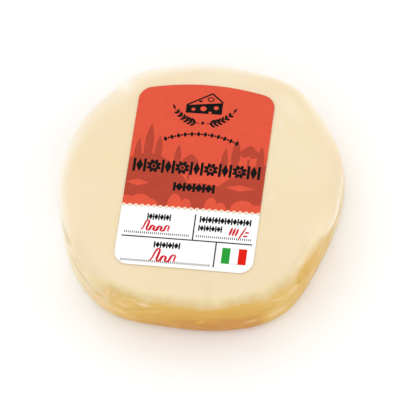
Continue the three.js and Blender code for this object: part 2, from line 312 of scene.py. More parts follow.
def face_height(x, y):
    """Height of the wheel's upper face at a place on it."""
    turn = np.arctan2(y, x)
    edge = outline_radius(turn) - upper_edge_width(turn) - wall_inset(WHEEL_HEIGHT)
    return WHEEL_HEIGHT + CROWN * (1 - (np.hypot(x, y) / edge) ** 2)


def smooth(value, start, end):
    """0 at the start and 1 at the end of a range, easing in and out."""
    share = np.clip((value - start) / (end - start), 0, 1)
    return share * share * (3 - 2 * share)


def wheel_rows(face_rings, edge_steps, wall_steps, base_rings):
    """Rows of the surface from the middle of the upper face to the middle of the base.

    Each is (share of the way out, height, share of the upper edge's width left inside the outline,
    further inset at the lower edge, outward slope, upward slope)."""
    rows = []
    for ring in range(face_rings):
        share = 1 - (1 - ring / face_rings) ** RING_CROWDING
        rows.append((share, WHEEL_HEIGHT + CROWN * (1 - share ** 2), 1.0, 0.0, 0.0, 1.0))
    bends = [math.pi / 2 * step / edge_steps for step in range(edge_steps + 1)]
    for bend in bends:
        height = WHEEL_HEIGHT - UPPER_EDGE_HEIGHT * (1 - math.cos(bend))
        rows.append((1.0, height, 1 - math.sin(bend), 0.0, math.sin(bend), math.cos(bend)))
    top = WHEEL_HEIGHT - UPPER_EDGE_HEIGHT
    for step in range(1, wall_steps):
        rows.append((1.0, top + (LOWER_EDGE - top) * step / wall_steps, 0.0, 0.0, 1.0, 0.0))
    for bend in bends:
        height, inset = LOWER_EDGE * (1 - math.sin(bend)), LOWER_EDGE * (1 - math.cos(bend))
        rows.append((1.0, height, 0.0, inset, math.cos(bend), -math.sin(bend)))
    for ring in range(1, base_rings + 1):
        rows.append((1 - ring / base_rings, 0.0, 0.0, LOWER_EDGE, 0.0, -1.0))
    return np.array(rows)


def around(turn, place):
    """Distance round the wheel from a place given in degrees, in millimetres."""
    turned = turn - math.radians(place)
    return np.arctan2(np.sin(turned), np.cos(turned)) * ROUND_RADIUS


def fold_rise(turn, height, turn_1, height_1, turn_2, height_2, rise, half_width):
    """A bell-shaped ridge between two places, fading out towards both ends."""
    u, v = around(turn, turn_1), height - height_1
    run = np.array([math.radians(turn_2 - turn_1) * ROUND_RADIUS, height_2 - height_1])
    length = np.linalg.norm(run)
    along = (u * run[0] + v * run[1]) / length ** 2
    aside = np.abs(u * run[1] - v * run[0]) / length
    return rise * np.sin(math.pi * np.clip(along, 0, 1)) * np.exp(-((aside / half_width) ** 2))


def solid_relief(turn, height):
    """The swells and large folds that the solid has, outward from its wall."""
    relief = 0.0
    for per_turn, size, start in WALL_SWELLS:
        relief = relief + size * np.sin(per_turn * turn + math.radians(start))
    for fold in LARGE_FOLDS:
        relief = relief + fold_rise(turn, height, *fold)
    above_base = smooth(height, 0, LOWER_EDGE)
    near_face = smooth(height, WHEEL_HEIGHT - UPPER_EDGE_HEIGHT / 2, WHEEL_HEIGHT)
    return relief * above_base * (1 - near_face)


def waves(turn, down, entries):
    """The sum of a few waves that run over the surface."""
    total = 0.0
    for per_radian, per_millimetre, start, size in entries:
        total = total + size * np.sin(per_radian * turn + per_millimetre * down + start)
    return total


def patch(grid, place, depth, half_length, half_width, lean, softness=0.8):
    """1 in the middle of a lens-shaped patch, easing to 0 at its uneven outline."""
    along, across = around(grid.turn, place), grid.down - depth
    c, s = math.cos(math.radians(lean)), math.sin(math.radians(lean))
    reach = np.hypot((along * c + across * s) / half_length, (across * c - along * s) / half_width)
    reach = reach * (1 + PATCH_WOBBLE * waves(grid.turn, grid.down, OUTLINE_WAVES))
    return 1 - smooth(reach, PATCH_REACH - softness, PATCH_REACH)


def ridge(grid, line, half_width):
    """A bell-shaped line through places on the surface, fading out at its two ends."""
    height = 0.0
    runs = [(around(math.radians(b[0]), a[0]), b[1] - a[1]) for a, b in zip(line, line[1:])]
    reached = [0.0]
    for run in runs:
        reached.append(reached[-1] + math.hypot(*run))
    for (place, depth), (run_u, run_v), begun, done in zip(line, runs, reached, reached[1:]):
        u, v = around(grid.turn, place), grid.down - depth
        share = np.clip((u * run_u + v * run_v) / (done - begun) ** 2, 0, 1)
        aside = np.hypot(u - share * run_u, v - share * run_v)
        whole = (begun + share * (done - begun)) / reached[-1]
        fading = np.minimum(1, LINE_EASING * np.minimum(whole, 1 - whole) + LINE_END)
        height = np.maximum(height, fading * np.exp(-((aside / half_width) ** 2)))
    return height


class WheelGrid:
    """The wheel's surface as columns round it by rows over it, before any layer's own depth."""

    def __init__(self, columns, *row_counts):
        rows = wheel_rows(*row_counts)
        share, height, left, lower, out, up = (rows[:, None, i] for i in range(6))
        self.turn = np.linspace(0, 2 * math.pi, columns, endpoint=False)[None, :]
        inset = left * upper_edge_width(self.turn) + lower + wall_inset(height)
        radius = share * (outline_radius(self.turn) - inset)
        self.height, self.out, self.up = height, out, up
        self.radius = radius + np.where(share == 1, solid_relief(self.turn, height), 0)
        steps = np.hypot(np.diff(radius, axis=0), np.diff(height, axis=0))
        gone = np.vstack([np.zeros_like(self.turn), np.cumsum(steps, axis=0)])
        face_rings = row_counts[0]
        self.down = gone - gone[face_rings]

    def points(self, lift):
        """The surface moved outwards by lift, as x, y, z in millimetres."""
        radius = self.radius + lift * self.out
        x = radius * np.cos(self.turn)
        y = radius * np.sin(self.turn)
        z = self.height + lift * self.up
        return np.stack([x, y, z], axis=-1)


def add_object(name, data):
    thing = bpy.data.objects.new(name, data)
    bpy.context.scene.collection.objects.link(thing)
    return thing


def closed_skin(name, grid, lift, material, attributes):
    """A closed mesh over the whole grid, with one vertex at each pole."""
    points = grid.points(lift)
    rows, columns = points.shape[:2]
    vertices = [points[0, 0], *points[1:-1].reshape(-1, 3), points[-1, 0]]
    last = len(vertices) - 1
    faces = []
    for column in range(columns):
        after = (column + 1) % columns
        faces.append((0, 1 + column, 1 + after))
        for row in range(rows - 3):
            near, far = 1 + row * columns, 1 + (row + 1) * columns
            faces.append((near + column, far + column, far + after, near + after))
        low = 1 + (rows - 3) * columns
        faces.append((low + column, last, low + after))
    mesh = bpy.data.meshes.new(name)
    mesh.from_pydata([tuple(v * MM) for v in vertices], [], faces)
    mesh.shade_smooth()
    for key, values in attributes.items():
        flat = np.concatenate([values[0, :1], values[1:-1].ravel(), values[-1, :1]])
        data = mesh.attributes.new(key, "FLOAT", "POINT").data
        data.foreach_set("value", flat.astype(np.float32))
    mesh.materials.append(material)
    return add_object(name, mesh)


# ---- Materials ----

def linear(srgb, brightness=1.0):
    """Linear colour of sRGB values from 0 to 255, made brighter or darker by a factor."""
    parts = [c / 255 for c in srgb]
    parts = [c / 12.92 if c <= 0.04045 else ((c + 0.055) / 1.055) ** 2.4 for c in parts]
    return tuple(min(c * brightness, 1.0) for c in parts) + (1,)


class Recipe:
    """A material and its node tree, with a short call for each kind of node used here."""

    def __init__(self, name):
        self.material = bpy.data.materials.new(name)
        self.material.use_nodes = True
        self.nodes, self.links = self.material.node_tree.nodes, self.material.node_tree.links
        self.nodes.clear()

    def add(self, kind, output, inputs, **settings):
        """One output of a new node, whose inputs are set to values or linked to other outputs."""
        node = self.nodes.new("ShaderNode" + kind)
        for name, value in settings.items():
            setattr(node, name, value)
        for name, value in inputs.items():
            if isinstance(value, bpy.types.NodeSocket):
                self.links.new(value, node.inputs[name])
            else:
                node.inputs[name].default_value = value
        return node.outputs[output]

    def attribute(self, name):
        return self.add("Attribute", "Fac", {}, attribute_name=name)

    def noise(self, scale, detail, roughness, stretch=(1, 1, 1)):
        place = self.add("TexCoord", "Object", {})
        place = self.add("Mapping", "Vector", {"Scale": stretch, "Vector": place})
        cloud = {"Scale": scale, "Detail": detail, "Roughness": roughness, "Vector": place}
        return self.add("TexNoise", "Fac", cloud)

    def ramp(self, value, stops):
        """A colour that follows a value, from stops as place, sRGB colour and perhaps brightness."""
        colour = self.add("ValToRGB", "Color", {"Fac": value})
        elements = colour.node.color_ramp.elements
        while len(elements) < len(stops):
            elements.new(0.5)
        for element, (place, *tone) in zip(elements, stops):
            element.position = place
            element.color = linear(*tone)
        return colour

    def calculate(self, operation, *values):
        return self.add("Math", "Value", dict(enumerate(values)), operation=operation)

    def mix(self, factor, first, second):
        """A mix of two colours, whose sockets are the node's seventh and eighth."""
        colours = {"Factor": factor, 6: first, 7: second}
        return self.add("Mix", 2, colours, data_type="RGBA")

    def bump(self, height, strength, distance):
        heights = {"Strength": strength, "Distance": distance, "Height": height}
        return self.add("Bump", "Normal", heights)

    def finish(self, surface):
        output = self.nodes.new("ShaderNodeOutputMaterial")
        self.links.new(surface, output.inputs["Surface"])
        return self.material


def cheese_material():
    """Pale cream paste that turns to golden rind down the wall, mottled and a little see-through.

    Painted sheen, highlights and shade are mixed into its colour.
    """
    recipe = Recipe("provolone_paste")
    rind = recipe.attribute("rind")
    blotches, blotch_swing = recipe.noise(110, 4.0, 0.6, (1, 1, 2.6)), 0.4
    streaks, streak_swing = recipe.noise(380, 3.0, 0.6, (1, 1, 4)), 0.36
    wander = recipe.calculate("MULTIPLY_ADD", blotches, blotch_swing, -blotch_swing / 2)
    wander = recipe.calculate("MULTIPLY_ADD", streaks, streak_swing, wander)
    wander = recipe.calculate("SUBTRACT", wander, streak_swing / 2)
    # The mottling only wanders where some rind shows, so that the face stays clean.
    weight = recipe.calculate("MULTIPLY", rind, 1.4)
    weight = recipe.calculate("MINIMUM", weight, 0.9)
    ripeness = recipe.calculate("MULTIPLY_ADD", wander, weight, rind)
    rind_colour = recipe.ramp(ripeness, RIND_COLOURS)
    face_colour = recipe.ramp(recipe.noise(42, 3.0, 0.5), FACE_COLOURS)
    colour = recipe.mix(recipe.calculate("MULTIPLY", rind, 8.0), face_colour, rind_colour)
    # Mixed over that colour: peach with painted highlights, painted sheen and highlights, and painted
    # shade.
    for name, strength, tone in (
        ("peach_and_highlight", 0.6, PEACH_COLOUR), ("painted_sheen", 1.0, PAINTED_SHEEN_COLOUR), ("painted_shade", 0.16, PAINTED_SHADE_COLOUR),
    ):
        amount = recipe.calculate("MULTIPLY", recipe.attribute(name), strength)
        colour = recipe.mix(amount, colour, linear(tone))
    grain = recipe.noise(900, 4.0, 0.65)
    return recipe.finish(recipe.add("BsdfPrincipled", "BSDF", {
        "Base Color": colour, "Roughness": 0.42, "IOR": 1.4, "Subsurface Weight": 0.3,
        "Subsurface Radius": (1.0, 0.7, 0.4), "Subsurface Scale": 1.2 * MM,
        "Normal": recipe.bump(grain, 0.2, 0.1 * MM),
    }))


def film_material():
    """Clear glossy film: it only mirrors, and goes a little milky along its creases, partly as painted
    highlights.
    """
    recipe = Recipe("clear_film")
    cloud = recipe.noise(240, 3.0, 0.6, (1, 1, 2))
    cloud = recipe.calculate("MULTIPLY_ADD", cloud, 1.6, -0.3)
    veiled = recipe.calculate("MULTIPLY", recipe.attribute("veil"), cloud)
    creased = recipe.calculate("MULTIPLY", recipe.attribute("crease"), 0.5)
    milkiness = recipe.calculate("ADD", veiled, creased)
    milkiness = recipe.calculate("MAXIMUM", milkiness, 0.0)
    milkiness = recipe.calculate("MINIMUM", milkiness, 0.85)
    clear = recipe.add("BsdfTransparent", "BSDF", {})
    milky = recipe.add("BsdfDiffuse", "BSDF", {"Color": linear(MILKY_COLOUR)})
    veil = recipe.add("MixShader", "Shader", {"Fac": milkiness, 1: clear, 2: milky})
    ripple = recipe.noise(420, 3.0, 0.55, (1, 1, 0.5))
    normal = recipe.bump(ripple, 0.3, 0.1 * MM)
    gloss = recipe.add("BsdfGlossy", "BSDF", {"Roughness": 0.14, "Normal": normal})
    # A thin sheet mirrors alike from both sides, and mostly at a glancing angle.
    glancing = recipe.add("LayerWeight", "Facing", {"Blend": 0.5, "Normal": normal})
    mirroring = recipe.calculate("POWER", glancing, 7.0)
    straight, more = FILM_MIRRORING
    mirroring = recipe.calculate("MULTIPLY_ADD", mirroring, more, straight)
    return recipe.finish(recipe.add("MixShader", "Shader", {"Fac": mirroring, 1: veil, 2: gloss}))


def ink_material(name, srgb):
    """Ink on paper: one colour, a little uneven, over the paper's fine grain."""
    recipe = Recipe(name)
    tones = [(0.35, srgb, 1 - INK_UNEVENNESS), (0.65, srgb, 1 + INK_UNEVENNESS)]
    colour = recipe.ramp(recipe.noise(220, 3.0, 0.6), tones)
    fibres = recipe.noise(2600, 2.0, 0.7)
    return recipe.finish(recipe.add("BsdfPrincipled", "BSDF", {
        "Base Color": colour, "Roughness": 0.55, "Specular IOR Level": 0.1,
        "Normal": recipe.bump(fibres, 0.15, 0.03 * MM),
    }))


# ---- Cheese and film ----

def round_wheel(turn, entries):
    """The values of a list round the wheel, each blended between the places that it gives."""
    places, *columns = zip(*entries)
    return [np.interp(np.degrees(turn), places, column, period=360) for column in columns]


def rind_amount(grid):
    """0 on the pale upper face and base, up to 1 low on the golden wall."""
    start, coming, upper, foot = round_wheel(grid.turn, RIND_ROUND)
    start = start + RIND_WOBBLE * waves(grid.turn, 0, OUTLINE_WAVES)
    amount = upper * smooth(grid.down, start, start + coming)
    amount = amount + (foot - upper) * smooth(grid.down, *RIND_FOOT)
    for *place, change in RIND_PATCHES:
        amount = amount + change * patch(grid, *place)
    for half_width, change, line in RIND_AND_SHADE_LINES:
        amount = amount + change * ridge(grid, line, half_width)
    base = smooth(grid.out + grid.up, -0.3, -0.9)
    return np.clip(amount, 0, 1) * (1 - BASE_PALENESS * base)


def strongest(grid, patches=(), lines=()):
    """The strongest of some patches and lines at each place."""
    amount = 0.0
    for *place, strength in patches:
        amount = np.maximum(amount, strength * patch(grid, *place, softness=1.1))
    for half_width, strength, line in lines:
        amount = np.maximum(amount, strength * ridge(grid, line, half_width))
    return amount


def painted_sheen_amount(grid):
    """How far the painted sheen and highlights pale the cheese: over the rim first, then changing down
    the wall.
    """
    start, full, rim, wall = round_wheel(grid.turn, PAINTED_SHEEN_ROUND)
    amount = rim * smooth(grid.down, start, full) + (wall - rim) * smooth(grid.down, *PAINTED_SHEEN_WALL)
    return np.maximum(amount, strongest(grid, patches=PAINTED_SHEEN_PATCHES, lines=PAINTED_HIGHLIGHT_LINES))


def small_folds():
    """Fine creases that the film draws up as it shrinks, each given as in FILM_CREASES."""
    draw = random.Random(FOLD_SEED)
    folds = []
    for _ in range(LOWER_FOLDS):
        turn, middle = draw.uniform(0, 360), draw.choice([20.0, 22.0, 24.0])
        length, lean = draw.uniform(2.0, 6.0), draw.gauss(0, 1.6)
        rise, half_width = draw.uniform(*LOWER_FOLD_RISE), draw.uniform(0.25, 0.6)
        line = [(turn, middle - length / 2), (turn + lean, middle + length / 2)]
        folds.append((rise, half_width, LOWER_FOLD_MILKINESS * rise / LOWER_FOLD_RISE[1], line))
    for _ in range(WALL_FOLDS):
        turn, down = draw.uniform(8, 190), draw.uniform(6, 18)
        lean, drop = draw.choice([-1, 1]) * draw.uniform(4, 10), draw.uniform(0.3, 2.5)
        rise, half_width = draw.uniform(0.03, 0.08), draw.uniform(0.25, 0.5)
        line = [(turn, down), (turn + lean, down + drop)]
        folds.append((rise, half_width, WALL_FOLD_MILKINESS, line))
    return folds


def build_cheese():
    grid = WheelGrid(*CHEESE_GRID)
    swell = waves(grid.turn, grid.down, CHEESE_SWELLS)
    lift = swell * smooth(grid.down, *SWELLS_COME_IN) * smooth(grid.up, -1, 0) - CHEESE_DEPTH
    attributes = {
        "rind": rind_amount(grid),
        "peach_and_highlight": strongest(grid, patches=PEACH_PATCHES, lines=PEACH_HIGHLIGHT_LINES),
        "painted_sheen": painted_sheen_amount(grid),
        "painted_shade": strongest(grid, lines=PAINTED_FOLD_SHADES),
    }
    cheese = closed_skin("cheese", grid, lift, cheese_material(), attributes)
    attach(cheese, BODY)
    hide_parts("wrapped_cheese")


def build_film():
    grid = WheelGrid(*FILM_GRID)
    rise = crease = 0.0
    for height, half_width, milkiness, line in FILM_CREASES + small_folds():
        shape = ridge(grid, line, half_width)
        rise = np.maximum(rise, height * shape)
        crease = np.maximum(crease, milkiness * shape)
    lift = (rise - FILM_DEPTH) * smooth(grid.up, -1, -0.8)
    attributes = {"crease": crease, "veil": strongest(grid, patches=FILM_VEILS)}
    film = closed_skin("film", grid, lift, film_material(), attributes)
    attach(film, BODY)
    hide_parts("wrapped_cheese")


# ---- The label's print, in the label's own millimetres from its middle ----

RED_EDGE = -13.6  # where the red field meets the white one
PRINT_TILT = 0.35  # degrees anticlockwise that the print is turned on its sheet
DIVIDERS = [  # left, low, right, high
    (-23.4, -26.08, 23.4, -25.58), (1.77, -25.6, 2.27, -15.6), (10.42, -35.7, 10.92, -26.05),
]
DOTTED_LINES = [(-22.5, 0.6, -24.2), (3.32, 23.2, -24.05), (-22.44, 9.6, -35.15)]  # left, right, height
DOT_PITCH = 0.716
DOT_HALF = (0.15, 0.42)
HEADINGS = [  # left, right, low, high, number of ornaments and how broad they are
    (-15.4, -6.4, -19.0, -16.4, 9, 1.3), (3.4, 22.4, -18.7, -16.1, 17, 1.3),
    (3.3, 12.3, -22.0, -19.6, 9, 1.3), (-11.7, -1.7, -29.75, -27.3, 9, 1.3),
]
RED_HEADING = (-7.9, 7.9, -6.85, -3.4, 9, 1.4)  # the same, on the red field
BRUSH_LINES = [  # left, right, low, high, number of waves
    (-17.0, -5.8, -23.1, -19.2, 4), (-12.4, -2.1, -34.9, -30.0, 3),
]
BRUSH_WIDTH = 0.98
BRUSH_ANGLE = -20  # of its nib, in degrees
TALLY = [  # foot and top of each stroke, and its width
    ((14.8, -22.9), (15.7, -19.7), 0.85), ((15.9, -23.0), (16.8, -19.8), 0.85),
    ((17.0, -23.1), (17.9, -19.9), 0.8), ((18.0, -24.6), (20.7, -18.9), 0.62),
    ((19.7, -22.8), (21.3, -22.6), 0.7), ((20.2, -21.4), (21.8, -21.2), 0.7),
]
STRIPES_LEFT, STRIPES_LOW, STRIPES_HIGH, STRIPE_WIDTH = 13.1, -33.95, -27.8, 2.95
HAIRLINE = 0.28  # thickness of the stripes' outline above and below the white one


def inked(ink, loops):
    return [(ink, loop) for loop in loops]


def rectangle(left, low, right, high):
    return [(left, low), (right, low), (right, high), (left, high)]


def arc(x, y, across, up, start, end, steps):
    """Points along part of an ellipse, between two angles in radians."""
    angles = [start + (end - start) * i / steps for i in range(steps + 1)]
    return [(x + across * math.cos(a), y + up * math.sin(a)) for a in angles]


def ellipse(x, y, across, up, corners):
    return arc(x, y, across, up, 0, 2 * math.pi, corners)[:-1]


def turned(x, y, loop, tilt):
    """A loop round 0, 0 turned by an angle in radians and moved to a place."""
    c, s = math.cos(tilt), math.sin(tilt)
    return [(x + a * c - b * s, y + a * s + b * c) for a, b in loop]


def lozenge(x, y, across, up, tilt=0.0):
    return turned(x, y, [(across, 0), (0, up), (-across, 0), (0, -up)], tilt)


def leaf(x, y, away, half_length, half_width, tilt):
    """A leaf pointed at both ends, with its middle some way from a place in its own direction."""
    loop = []
    for step in range(12):
        angle = 2 * math.pi * step / 12
        across = half_width * math.sin(angle) * abs(math.sin(angle)) ** 0.4
        loop.append((half_length * math.cos(angle), across))
    return turned(x + away * math.cos(tilt), y + away * math.sin(tilt), loop, tilt)


def bar(start, end, width):
    """A straight bar between two places."""
    run = np.subtract(end, start)
    side = np.array([-run[1], run[0]]) / np.linalg.norm(run) * width / 2
    return [tuple(p) for p in (start - side, end - side, end + side, start + side)]


def ring(x, y, across, up, hole_across, hole_up):
    """A ring as quads between its two ellipses."""
    outer, inner = ellipse(x, y, across, up, 20), ellipse(x, y, hole_across, hole_up, 20)
    return [[outer[i - 1], outer[i], inner[i], inner[i - 1]] for i in range(20)]


def stroke(line, width, nib=None):
    """A ribbon along a line of points, thinner at its ends, as one short piece per step.

    With a nib angle, in radians, the ribbon is widest where it runs across the nib."""
    line = np.array(line, float)
    run = np.gradient(line, axis=0)
    run /= np.linalg.norm(run, axis=1, keepdims=True)
    side = np.stack([-run[:, 1], run[:, 0]], axis=1)
    share = np.linspace(0, 1, len(line))
    half = width / 2 * (0.35 + 0.65 * np.sin(math.pi * share) ** 0.5)
    if nib is not None:
        half = half * (0.42 + 0.58 * np.abs(run[:, 1] * math.cos(nib) - run[:, 0] * math.sin(nib)))
    left, right = line + side * half[:, None], line - side * half[:, None]
    return [[tuple(p) for p in piece] for piece in zip(right, right[1:], left[1:], left)]


def label_outline():
    """The label's edge: straight sides, rounded corners, one shallow arch along the top."""
    half, lower, corner = LABEL_WIDTH / 2, LABEL_LOWER_CORNER, LABEL_UPPER_CORNER
    points = []
    for side, start in ((-1, math.pi), (1, 1.5 * math.pi)):
        middle = (side * (half - lower), -LABEL_HEIGHT / 2 + lower)
        points += arc(*middle, lower, lower, start, start + math.pi / 2, 12)
    straight = half - corner
    bends = [corner * math.sin(math.pi / 2 * i / 12) for i in range(1, 13)]
    across = [straight + bend for bend in reversed(bends)]
    across += [straight - 2 * straight * i / 24 for i in range(25)]
    across += [-straight - bend for bend in bends]
    for x in across:
        over = max(abs(x) - straight, 0)
        arch = LABEL_HEIGHT / 2 - LABEL_ARCH * (x / half) ** 2
        points.append((x, arch - (corner - math.sqrt(max(corner ** 2 - over ** 2, 0)))))
    return points


def hill(left, right, low, high, lean):
    """A smooth rise between two feet, its top leaning to one side."""
    points = [(left, low)]
    for step in range(25):
        share = step / 24
        bell = math.sin(math.pi * share ** (1 + lean)) ** 1.3 if share else 0.0
        points.append((left + (right - left) * share, low + 0.02 + (high - low) * bell))
    return points + [(right, low)]


def cypress(x, foot, height, width):
    """A slim tree, widest low down and drawn up to a point."""
    points = []
    for side in (1, -1):
        for step in range(11):
            share = step / 10 if side == 1 else 1 - step / 10
            bulge = math.sin(math.pi * min(share * 0.86 + 0.14, 1.0)) ** 0.8
            points.append((x + side * width / 2 * bulge, foot + height * share))
    return points


def round_tree(x, foot, height, crown):
    """A broad tree: three overlapping rounds of leaves on a straight trunk."""
    loops = [rectangle(x - 0.45, foot, x + 0.45, foot + height - crown)]
    for dx, dy, size in ((-0.62, -0.1, 0.66), (0.6, -0.18, 0.7), (0.0, 0.34, 0.76)):
        middle = (x + dx * crown, foot + height + dy * crown)
        loops.append(ellipse(*middle, size * crown, size * crown, 20))
    return loops


def landscape():
    """Rolling hills with slim and round trees, in darker red over the lower half of the red field,
    then round bushes along its foot and two fields in the paler red."""
    dark, pale = [], []
    for left, right, high, lean in ((-44, 7, 7.6, 0.05), (-6, 50, 6.0, 0.2), (-30, 34, -3.2, 0.0)):
        dark.append(hill(left, right, RED_EDGE, high, lean))
    for tree in (
        (-22.0, 2.0, 11.5, 2.7), (-18.3, 4.5, 15.2, 3.4), (-14.6, 5.0, 10.0, 2.7), (-7.4, 1.5, 10.5, 2.6),
        (9.6, 1.0, 10.6, 2.7), (13.4, 3.5, 12.4, 3.2), (22.4, 3.0, 10.4, 2.8),
    ):
        dark.append(cypress(*tree))
    for tree in ((18.2, 4.0, 6.4, 2.6), (-2.6, -2.0, 7.6, 2.3)):
        dark += round_tree(*tree)
    for x, across, up in (
        (-23.5, 3.6, 3.4), (-18.6, 4.4, 4.2), (-14.8, 2.6, 2.5), (-6.2, 2.6, 5.2), (-2.2, 2.0, 3.6),
        (6.8, 2.4, 4.6), (10.4, 2.0, 3.0), (18.3, 4.6, 4.4), (23.4, 3.2, 3.0),
    ):
        crown = arc(x, RED_EDGE + 0.4, across, up, 0, math.pi, 16)
        pale.append(crown + [(x - across, RED_EDGE), (x + across, RED_EDGE)])
    pale += [lozenge(-20.5, -4.4, 4.2, 1.4), lozenge(16.4, -4.0, 5.4, 1.3)]
    return inked(DARK_RED, dark) + inked(RED, pale)


def sprig(x, y, side):
    """A sprig of paired leaves that rises outwards from a place under the emblem."""
    stem = [(x + side * (1.2 + 9.4 * t), y + 0.6 * t + 4.6 * t ** 2.4) for t in np.linspace(0, 1, 15)]
    loops = stroke(stem, 0.42)
    for step in range(2, 14, 2):
        (ax, ay), (bx, by) = stem[step - 1], stem[step]
        heading = math.atan2(by - ay, bx - ax)
        length = 1.35 - 0.045 * step
        loops += [leaf(bx, by, length, length, 0.46, heading + turn) for turn in (-0.72, 0.72)]
    x, y = stem[-1]
    return loops + [leaf(x + side * 0.5, y + 0.9, 0, 1.1, 0.42, math.radians(90 - side * 28))]


def emblem():
    """A plain wedge of cheese over two sprigs, at the top of the red field."""
    x, y = -0.3, 28.6
    tip, back, heel = (x - 6.6, y - 0.4), (x + 2.4, y + 4.9), (x + 6.6, y + 1.4)
    front = [tip, heel, (heel[0], heel[1] - 4.9), (tip[0], tip[1] - 3.2)]
    shapes = inked(BLACK, [bar(tip, back, 0.62), bar(back, heel, 0.62), front])
    shapes.append((RED, ellipse(x + 2.0, y + 2.5, 0.85, 0.62, 16)))
    shapes += inked(BLACK, ring(x + 2.0, y + 2.5, 1.3, 1.0, 0.85, 0.62))
    shapes.append((BLACK, ellipse(x - 1.6, y + 1.5, 0.75, 0.42, 14)))
    for dx, dy, size in ((-3.9, -2.0, 0.72), (-0.3, -1.5, 1.15), (2.3, -3.0, 0.6), (4.3, -0.9, 0.9)):
        shapes.append((RED, ellipse(x + dx, y + dy, size, size * 0.86, 16)))
    for side in (-1, 1):
        shapes += inked(BLACK, sprig(x + 0.2, y - 7.6, side))
    return shapes + [(BLACK, ellipse(x + 0.2, y - 7.4, 0.62, 0.62, 12))]


def bead_arc():
    """Small lozenges and dots along a shallow arc under the emblem."""
    radius, top, count = 31.0, 16.6, 23
    loops = []
    for index in range(count):
        angle = (index - (count - 1) / 2) * math.radians(2.24)
        x, y = 0.2 + radius * math.sin(angle), top - radius * (1 - math.cos(angle))
        loops.append(ellipse(x, y, 0.4, 0.4, 12) if index % 2 else lozenge(x, y, 0.78, 1.1, -angle))
    return inked(BLACK, loops)


def rosette(x, y, petals, reach):
    """A flower of broad petals round a small disc."""
    loops = [ellipse(x, y, 0.22 * reach, 0.22 * reach, 12)]
    for index in range(petals):
        tilt = 2 * math.pi * (index + 0.5) / petals
        loops.append(leaf(x, y, 0.64 * reach, 0.37 * reach, 0.25 * reach, tilt))
    return loops


def frieze():
    """A bold black band of rosettes and barred lozenges across the red field."""
    low, high, half, count = -0.1, 5.2, 23.2, 9
    middle, up, pitch = (low + high) / 2, (high - low) / 2, 2 * half / count
    loops = []
    for index in range(count):
        x = -half + pitch * (index + 0.5)
        if index % 2:
            loops += rosette(x, middle, 8, up + 0.1)
        else:
            loops.append(lozenge(x, middle, 1.25, up))
            loops += [rectangle(side - 0.5, low, side + 0.5, high) for side in (x - 1.9, x + 1.9)]
    return inked(BLACK, loops)


def ornament_row(left, right, low, high, count, weight):
    """A row of upright bars and lozenges by turns, where a heading would stand."""
    pitch, middle, up = (right - left) / count, (low + high) / 2, (high - low) / 2
    loops = []
    for index in range(count):
        x = left + pitch * (index + 0.5)
        if index % 2:
            loops.append(lozenge(x, middle, 0.6 * pitch * weight, up))
        else:
            half = 0.2 * pitch * weight
            loops.append(rectangle(x - half, low, x + half, high))
    return inked(BLACK, loops)


def scalloped_edge():
    """The white field's upper edge: a row of small dots, cream above and beige below."""
    count, pitch, size, y = 23, 2.2, 0.64, RED_EDGE + 0.02
    shapes = []
    for index in range(count):
        x = (index - (count - 1) / 2) * pitch
        shapes.append((WHITE, ellipse(x, RED_EDGE - 0.15, 0.86, 0.72, 14)))
        shapes.append((BEIGE, ellipse(x, y, size, size, 16)))
        shapes.append((CREAM, arc(x, y, size, size, 0, math.pi, 10)))
    return shapes


def dotted_line(left, right, y):
    """A row of small upright dots."""
    across, up = DOT_HALF
    places = np.arange(left, right, DOT_PITCH)
    return inked(BLACK, [rectangle(x - across, y - up, x + across, y + up) for x in places])


def flourish(left, right, low, high, peaks):
    """A quick red brush line: one tall stroke, then smaller waves, all leaning to the right."""
    lean, looping, room = 0.3, 0.24, 0.9
    count, line = peaks * 16, []
    for step in range(count + 1):
        share = step / count
        swing = (1 - math.cos(2 * math.pi * peaks * share)) / 2
        tall = 1.0 if share < 1 / peaks else 0.5 + 0.08 * math.sin(9 * share)
        rise = (high - low) * tall * swing
        loop = looping * math.sin(4 * math.pi * peaks * share)
        line.append((left + (right - left - room) * share + loop + lean * rise, low + rise))
    return inked(SCARLET, stroke(line, BRUSH_WIDTH, math.radians(BRUSH_ANGLE)))


def tally():
    """Three leaning brush strokes in a row, a long one, and two dashes, drawn by hand."""
    loops = []
    for start, end, width in TALLY:
        line = [tuple(np.add(start, np.subtract(end, start) * t)) for t in np.linspace(0, 1, 6)]
        loops += stroke(line, width)
    return inked(SCARLET, loops)


def stripes():
    """Three plain upright stripes, the middle one outlined above and below."""
    left, low, high, right = STRIPES_LEFT, STRIPES_LOW, STRIPES_HIGH, STRIPES_LEFT + 3 * STRIPE_WIDTH
    return [
        (HAIR, rectangle(left, low, right, high)),
        (WHITE, rectangle(left, low + HAIRLINE, right, high - HAIRLINE)),
        (GREEN, rectangle(left, low, left + STRIPE_WIDTH, high)),
        (STRIPE_RED, rectangle(left + 2 * STRIPE_WIDTH, low, right, high)),
    ]


def white_field():
    """The white field's dividing lines, dotted lines, ornaments, brush lines and stripes."""
    shapes = inked(GREY, [rectangle(*sides) for sides in DIVIDERS])
    for line in DOTTED_LINES:
        shapes += dotted_line(*line)
    for heading in HEADINGS:
        shapes += ornament_row(*heading)
    for line in BRUSH_LINES:
        shapes += flourish(*line)
    return shapes + tally() + stripes()


def label_print():
    """Every printed shape, in the order that the press lays them down."""
    half, top = LABEL_WIDTH / 2 + 1, LABEL_HEIGHT / 2 + 1
    shapes = [(RED, rectangle(-half, RED_EDGE, half, top))]
    for part in (landscape, emblem, bead_arc, frieze, scalloped_edge, white_field):
        shapes += part()
    shapes += ornament_row(*RED_HEADING)
    return [(ink, turned(0, 0, loop, math.radians(PRINT_TILT))) for ink, loop in shapes]


# ---- The label's sheet ----

